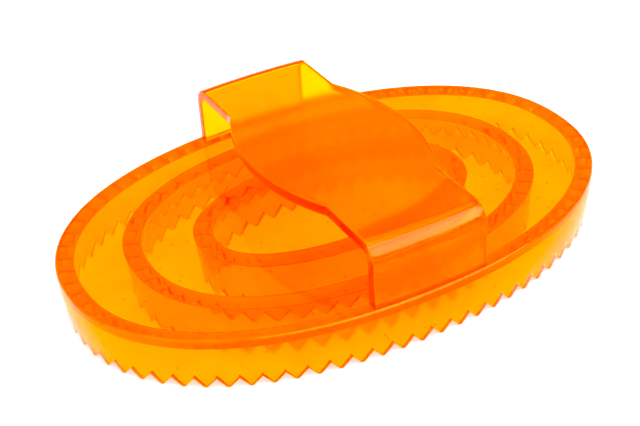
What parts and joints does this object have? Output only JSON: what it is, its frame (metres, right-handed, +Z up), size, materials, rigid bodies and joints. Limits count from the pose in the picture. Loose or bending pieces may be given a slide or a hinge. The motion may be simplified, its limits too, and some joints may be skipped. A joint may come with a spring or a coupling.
{
  "type": "curry comb",
  "caption": "Oval translucent plastic curry comb with concentric rings of teeth under a flat back plate and an arched hand strap over it",
  "frame": {"origin": "under the middle of the oval, level with the tips of the teeth", "axes": "+X runs along the oval, +Y runs across it the way the strap spans, +Z points up from the teeth to the strap"},
  "size_m": [0.165, 0.107, 0.0355],
  "materials": {
    "amber_plastic": "glossy translucent orange, moulded in one shot"
  },
  "bodies": {
    "root": {"back_plate": "amber_plastic", "outer_tooth_ring": "amber_plastic", "middle_tooth_ring": "amber_plastic", "inner_tooth_ring": "amber_plastic", "hand_strap": "amber_plastic"}
  },
  "joints": []
}
